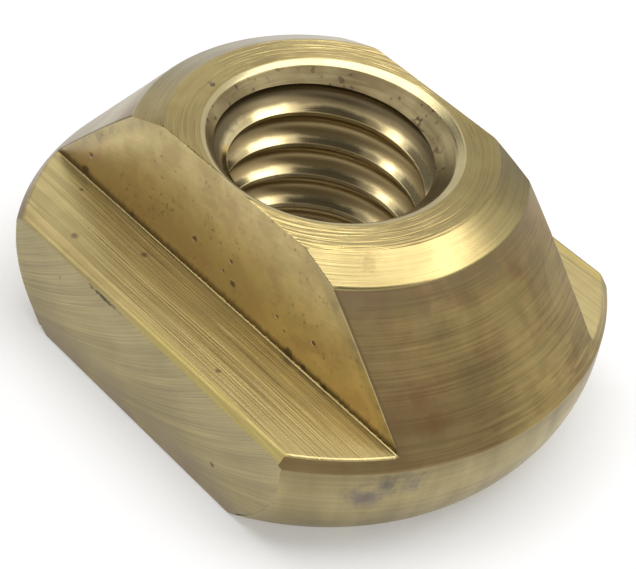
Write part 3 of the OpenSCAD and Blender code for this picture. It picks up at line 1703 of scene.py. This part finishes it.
@dataclass
class Studio:
    """The white ground, the lamps and the camera.

    Attributes:
        centre: Middle of the nut's box.
        span: The nut's length, which the studio's lengths are counted in.
        azimuth: The camera's azimuth from -Y, in degrees.
        elevation: Its height above the horizon, in degrees.
        roll: How far it is rolled about its line of sight, in degrees.
        distance: Its distance from the point that it aims at.
        aim: That point, from the nut's middle.
        lens: Its focal length, in millimetres.
        sensor: Width of its sensor, in millimetres.
        clip: The nearest and the farthest that it sees.
        floor_drop: How far the floor is below the nut's middle.
        floor_size: The floor's side.
        floor_grey: The floor's own grey.
        floor_lift: How much brighter than that it looks.
        world_light: How strong the white world is as a light.
    """

    centre: Vector
    span: float
    azimuth: float = 42.55
    elevation: float = 41.47
    roll: float = 9.39
    distance: float = 3.542
    aim: Vector = field(default_factory=lambda: Vector((0.0144, 0.0065, -0.0911)))
    lens: float = 118.1
    sensor: float = 36.0
    clip: Pair = (0.1, 200.0)
    floor_drop: float = 0.2185
    floor_size: float = 80.0
    floor_grey: float = 0.74
    floor_lift: float = 0.28
    world_light: float = 0.3

    def axes(self, azimuth: float, elevation: float, roll: float = 0.0) -> Matrix:
        """Axes of a thing that looks at the nut.

        Args:
            azimuth: Its azimuth from -Y, in degrees.
            elevation: Its height above the horizon, in degrees.
            roll: How far it is rolled about its line of sight, in degrees.

        Returns:
            A matrix whose columns point to its right, its top and its back.
        """
        a, e, turn = (math.radians(angle) for angle in (azimuth, elevation, roll))
        back = Vector((math.sin(a) * math.cos(e), -math.cos(a) * math.cos(e), math.sin(e)))
        right = Vector((0, 0, 1)).cross(back).normalized()
        up = back.cross(right)
        side = right * math.cos(turn) + up * math.sin(turn)
        top = up * math.cos(turn) - right * math.sin(turn)
        return Matrix((side, top, back)).transposed()

    def seat(self, panel: Panel) -> Matrix:
        """Place and turn of a lamp or card.

        Args:
            panel: The lamp or card.

        Returns:
            Its matrix in the world.
        """
        axes = self.axes(panel.azimuth, panel.elevation)
        offset = axes.col[2] * panel.distance + axes.col[0] * panel.slide
        return Matrix.Translation(self.centre + offset * self.span) @ axes.to_4x4()

    def add_camera(self) -> bpy.types.Object:
        """Adds the camera.

        Returns:
            The camera's object, which is set as the scene's.
        """
        axes = self.axes(self.azimuth, self.elevation, self.roll)
        place = self.centre + (self.aim + axes.col[2] * self.distance) * self.span
        bpy.ops.object.camera_add()
        camera = Bench.name_active("camera")
        camera.matrix_world = Matrix.Translation(place) @ axes.to_4x4()
        camera.data.lens = self.lens
        camera.data.sensor_width = self.sensor
        camera.data.clip_start, camera.data.clip_end = (self.span * end for end in self.clip)
        bpy.context.scene.camera = camera
        return camera

    def white_for_view(self, graph: Graph, dim: Number) -> Field:
        """Makes a number that is 1 where a ray is seen, and lower where it is light.

        Args:
            graph: The graph to add it to.
            dim: The number for the rays that are neither from the camera, nor in glass, nor
                off metal.

        Returns:
            The number as a field.
        """
        path = graph.add("ShaderNodeLightPath", {}, {}).outputs
        seen = Field(graph, path["Is Camera Ray"])
        for name in ("Is Glossy Ray", "Is Transmission Ray"):
            seen = seen.most(Field(graph, path[name]))
        return seen * (1 - dim) + dim

    def add_world(self) -> None:
        """Makes the world white to look at and softer as a light."""
        world = bpy.data.worlds.new("white_room")
        bpy.context.scene.world = world
        graph = Graph(world)
        strength = self.white_for_view(graph, self.world_light)
        values = {"Color": (1, 1, 1, 1), "Strength": strength}
        graph.output(graph.add("ShaderNodeBackground", {}, values).outputs[0])

    def add_floor(self) -> bpy.types.Object:
        """Adds the white floor, which keeps the nut's shadow.

        Returns:
            The floor's object.
        """
        Bench.clear_selection()
        low = self.centre.z - self.span * self.floor_drop
        bpy.ops.mesh.primitive_plane_add(size=self.span * self.floor_size, location=(0, 0, low))
        floor = Bench.name_active("floor")
        floor.data.materials.append(bpy.data.materials.new("white_floor"))
        graph = Graph(floor.data.materials[0])
        grey = (self.floor_grey, self.floor_grey, self.floor_grey, 1)
        paint = graph.add("ShaderNodeBsdfDiffuse", {}, {"Color": grey})
        lift = self.white_for_view(graph, 0) * self.floor_lift
        glow = graph.add("ShaderNodeEmission", {}, {"Color": (1, 1, 1, 1), "Strength": lift})
        both = graph.add("ShaderNodeAddShader", {}, {0: paint.outputs[0], 1: glow.outputs[0]})
        graph.output(both.outputs[0])
        return floor

    def add_lamp(self, panel: Panel) -> bpy.types.Object:
        """Adds a soft lamp.

        Args:
            panel: Its name, place, size and brightness.

        Returns:
            The lamp's object.
        """
        bpy.ops.object.light_add(type="AREA")
        lamp = Bench.name_active(panel.name)
        lamp.matrix_world = self.seat(panel)
        lamp.data.shape = "RECTANGLE"
        lamp.data.size = panel.length * self.span
        lamp.data.size_y = panel.width * self.span
        lamp.data.energy = panel.brightness * math.pi * lamp.data.size * lamp.data.size_y
        return lamp

    def add_card(self, panel: Panel) -> bpy.types.Object:
        """Adds a dark card that only shows in the metal, as a darker part of the room.

        Args:
            panel: Its name, place, size and brightness.

        Returns:
            The card's object.
        """
        Bench.clear_selection()
        bpy.ops.mesh.primitive_plane_add(size=self.span)
        card = Bench.name_active(panel.name)
        card.matrix_world = self.seat(panel) @ Matrix.Diagonal((panel.length, panel.width, 1, 1))
        card.visible_camera = card.visible_shadow = card.visible_diffuse = False
        card.data.materials.append(bpy.data.materials.new(panel.name))
        graph = Graph(card.data.materials[0])
        grey = (panel.brightness, panel.brightness, panel.brightness, 1)
        graph.output(graph.add("ShaderNodeEmission", {}, {"Color": grey}).outputs[0])
        return card


WALL_PITS = (
    Spot(-5.15, -3.2, 3.9, 0.09),
    Spot(-5.35, -3.2, 3.3, 0.22, 0.3),
    Spot(-3.4, -3.2, 3.2, 0.12),
    Spot(-1.0, -3.2, 4.15, 0.13),
    Spot(0.35, -3.2, 4.4, 0.08),
    Spot(0.1, -3.2, 3.95, 0.09),
    Spot(0.5, -3.2, 3.8, 0.13),
    Spot(2.1, -3.2, 4.0, 0.08),
    Spot(2.4, -3.2, 3.75, 0.07),
    Spot(2.65, -3.2, 3.25, 0.20, 0.4),
    Spot(3.2, -3.2, 3.2, 0.13, 0.4),
    Spot(3.4, -3.2, 4.15, 0.11, 0.3),
    Spot(3.95, -3.2, 3.15, 0.11, 0.4),
)
LEDGE_PITS = (
    Spot(-4.95, -3.6, 3.1, 0.09),
    Spot(-2.1, -3.8, 3.1, 0.13),
    Spot(-3.6, -4.8, 3.1, 0.16),
    Spot(2.1, -4.85, 3.1, 0.10),
)
LEDGE_GLINTS = (
    Spot(1.1, -3.85, 3.1, 0.04, 0.3, 12.0),
    Spot(4.2, -4.05, 3.1, 0.04, 0.3, 24.0),
    Spot(3.4, -3.72, 3.1, 0.03, 0.3, 30.0),
)
LEDGE_SCORES = (
    Spot(2.6, -3.96, 3.1, 0.04, 0.3, 50.0),
    Spot(-2.8, -4.35, 3.1, 0.03, 0.3, 50.0),
    Spot(-1.8, -3.65, 3.1, 0.03, 0.3, 40.0),
)
CONE_RED = (Spot(6.1, -2.3, 4.05, 0.7, 0.0), Spot(6.5, -2.2, 3.55, 0.55, 0.0))
CONE_BLOTCHES = (
    Spot(6.3, -0.8, 4.25, 0.75, 0.0),
    Spot(5.46, -1.3, 5.18, 0.7, 0.0),
    Spot(5.2, 2.3, 5.3, 0.8, 0.0),
)
RIM_SMUDGES = (
    Spot(6.4, -3.9, 2.05, 0.75, 0.0),
    Spot(6.65, -3.5, 2.35, 0.55, 0.0),
    Spot(6.85, -3.0, 2.45, 0.6, 0.0),
)
CHAMFER_STAINS = (Spot(3.75, -2.15, 6.4, 0.35, 0.1),)
TOP_STAINS = (Spot(-3.2, -1.15, 6.55, 0.10),)
FLAT_PITS = (Spot(2.95, -5.5, 1.05, 0.1), Spot(-3.2, -5.5, 2.35, 0.06))
FLAT_SCORES = (Spot(-1.5, -5.5, 2.98, 0.07, 0.3, 11.0),)

FINISHES = (
    TurnedFinish(
        Zone.UNDERSIDE, bright=(0.45, 0.36, 0.19), dull=(0.28, 0.22, 0.12), roughness=0.39,
    ),
    RimFinish(
        Zone.RIM, bright=(0.46, 0.385, 0.19), dull=(0.34, 0.275, 0.14), roughness=0.32,
        stain=(0.19, 0.16, 0.135), stains=RIM_SMUDGES,
    ),
    ConeFinish(
        Zone.CONE, bright=(0.50, 0.37, 0.155), dull=(0.25, 0.17, 0.068), roughness=0.30,
        relief=0.003, contrast=0.4, reddened=CONE_RED, blotches=CONE_BLOTCHES,
    ),
    PaintedLightFinish(
        Zone.CHAMFER, bright=(0.41, 0.335, 0.15), dull=(0.28, 0.215, 0.09), roughness=0.18,
        relief=0.003, stain=(0.25, 0.185, 0.08), stains=CHAMFER_STAINS,
        # Painted shade: the chamfer is painted darker towards 150 and -95 degrees.
        painted_light=((150.0, -0.5), (-95.0, -0.3)),
    ),
    PaintedLightFinish(
        Zone.TOP, bright=(0.40, 0.32, 0.135), dull=(0.28, 0.21, 0.085), roughness=0.22,
        # Painted highlights towards 35 and -145 degrees, standing in for the rings' sheen, and
        # painted shade towards 132 degrees.
        relief=0.04, stains=TOP_STAINS, painted_light=((35.0, 0.38), (-145.0, 0.38), (132.0, -0.2)),
    ),
    TurnedFinish(
        Zone.LIP, bright=(0.50, 0.43, 0.235), dull=(0.38, 0.31, 0.16), roughness=0.18,
        lean=0.8, contrast=0.2,
    ),
    TurnedFinish(
        Zone.COUNTERSINK, bright=(0.47, 0.39, 0.20), dull=(0.24, 0.18, 0.09), roughness=0.27,
        line=0.12, lean=0.8, contrast=0.3, cloudiness=0.8, specks=0.9,
    ),
    ThreadFinish(
        Zone.THREAD, bright=(0.66, 0.56, 0.31), dull=(0.50, 0.40, 0.20), roughness=0.07,
        relief=0.0006, lean=0.7, stain=(0.2, 0.13, 0.08), specks=0.3,
    ),
    WallFinish(
        Zone.NECK_WALL, bright=(0.59, 0.48, 0.235), dull=(0.45, 0.35, 0.165), roughness=0.26,
        pits=WALL_PITS,
    ),
    LedgeFinish(
        Zone.LEDGE, bright=(0.49, 0.40, 0.185), dull=(0.31, 0.245, 0.11), roughness=0.32,
        glints=LEDGE_GLINTS, scores=LEDGE_SCORES, pits=LEDGE_PITS,
    ),
    MilledFinish(
        Zone.FLAT, bright=(0.43, 0.36, 0.185), dull=(0.28, 0.235, 0.13), roughness=0.36,
        pits=FLAT_PITS, scores=FLAT_SCORES,
    ),
)

LAMP = Panel(
    "overhead", azimuth=222.5, elevation=82.0, distance=16.0, length=29.6, width=11.5,
    brightness=3.0, slide=-3.2,
)
CARDS = (
    Panel(
        "high_card", azimuth=72.0, elevation=66.0, distance=40.0, length=40.0, width=22.4,
        brightness=0.24,
    ),
    Panel(
        "side_card", azimuth=-76.0, elevation=37.0, distance=40.0, length=36.0, width=21.0,
        brightness=0.2,
    ),
    Panel(
        "low_card", azimuth=115.0, elevation=12.0, distance=39.0, length=92.0, width=28.0,
        brightness=0.62,
    ),
)


def main() -> None:
    """Builds the nut, dresses it and sets it on its white ground."""
    logging.basicConfig(level=logging.INFO, format="%(name)s: %(message)s")
    sizes = brass_sizes()
    body = NutBody(sizes).build()
    Dresser(sizes, FINISHES).dress(body)
    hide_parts("tee_nut")
    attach(body, "root")
    LOG.info("%s: %d faces", body.name, len(body.data.polygons))

    low, high = CAD_BOUNDS
    studio = Studio((low + high) / 2, high.x - low.x)
    stage = [studio.add_floor(), *(studio.add_card(card) for card in CARDS)]
    studio.add_world()
    studio.add_lamp(LAMP)
    studio.add_camera()
    LOG.info("studio: %s", ", ".join(prop.name for prop in stage))
    bpy.context.scene.view_settings.view_transform = "Standard"


if __name__ == "__main__":
    main()
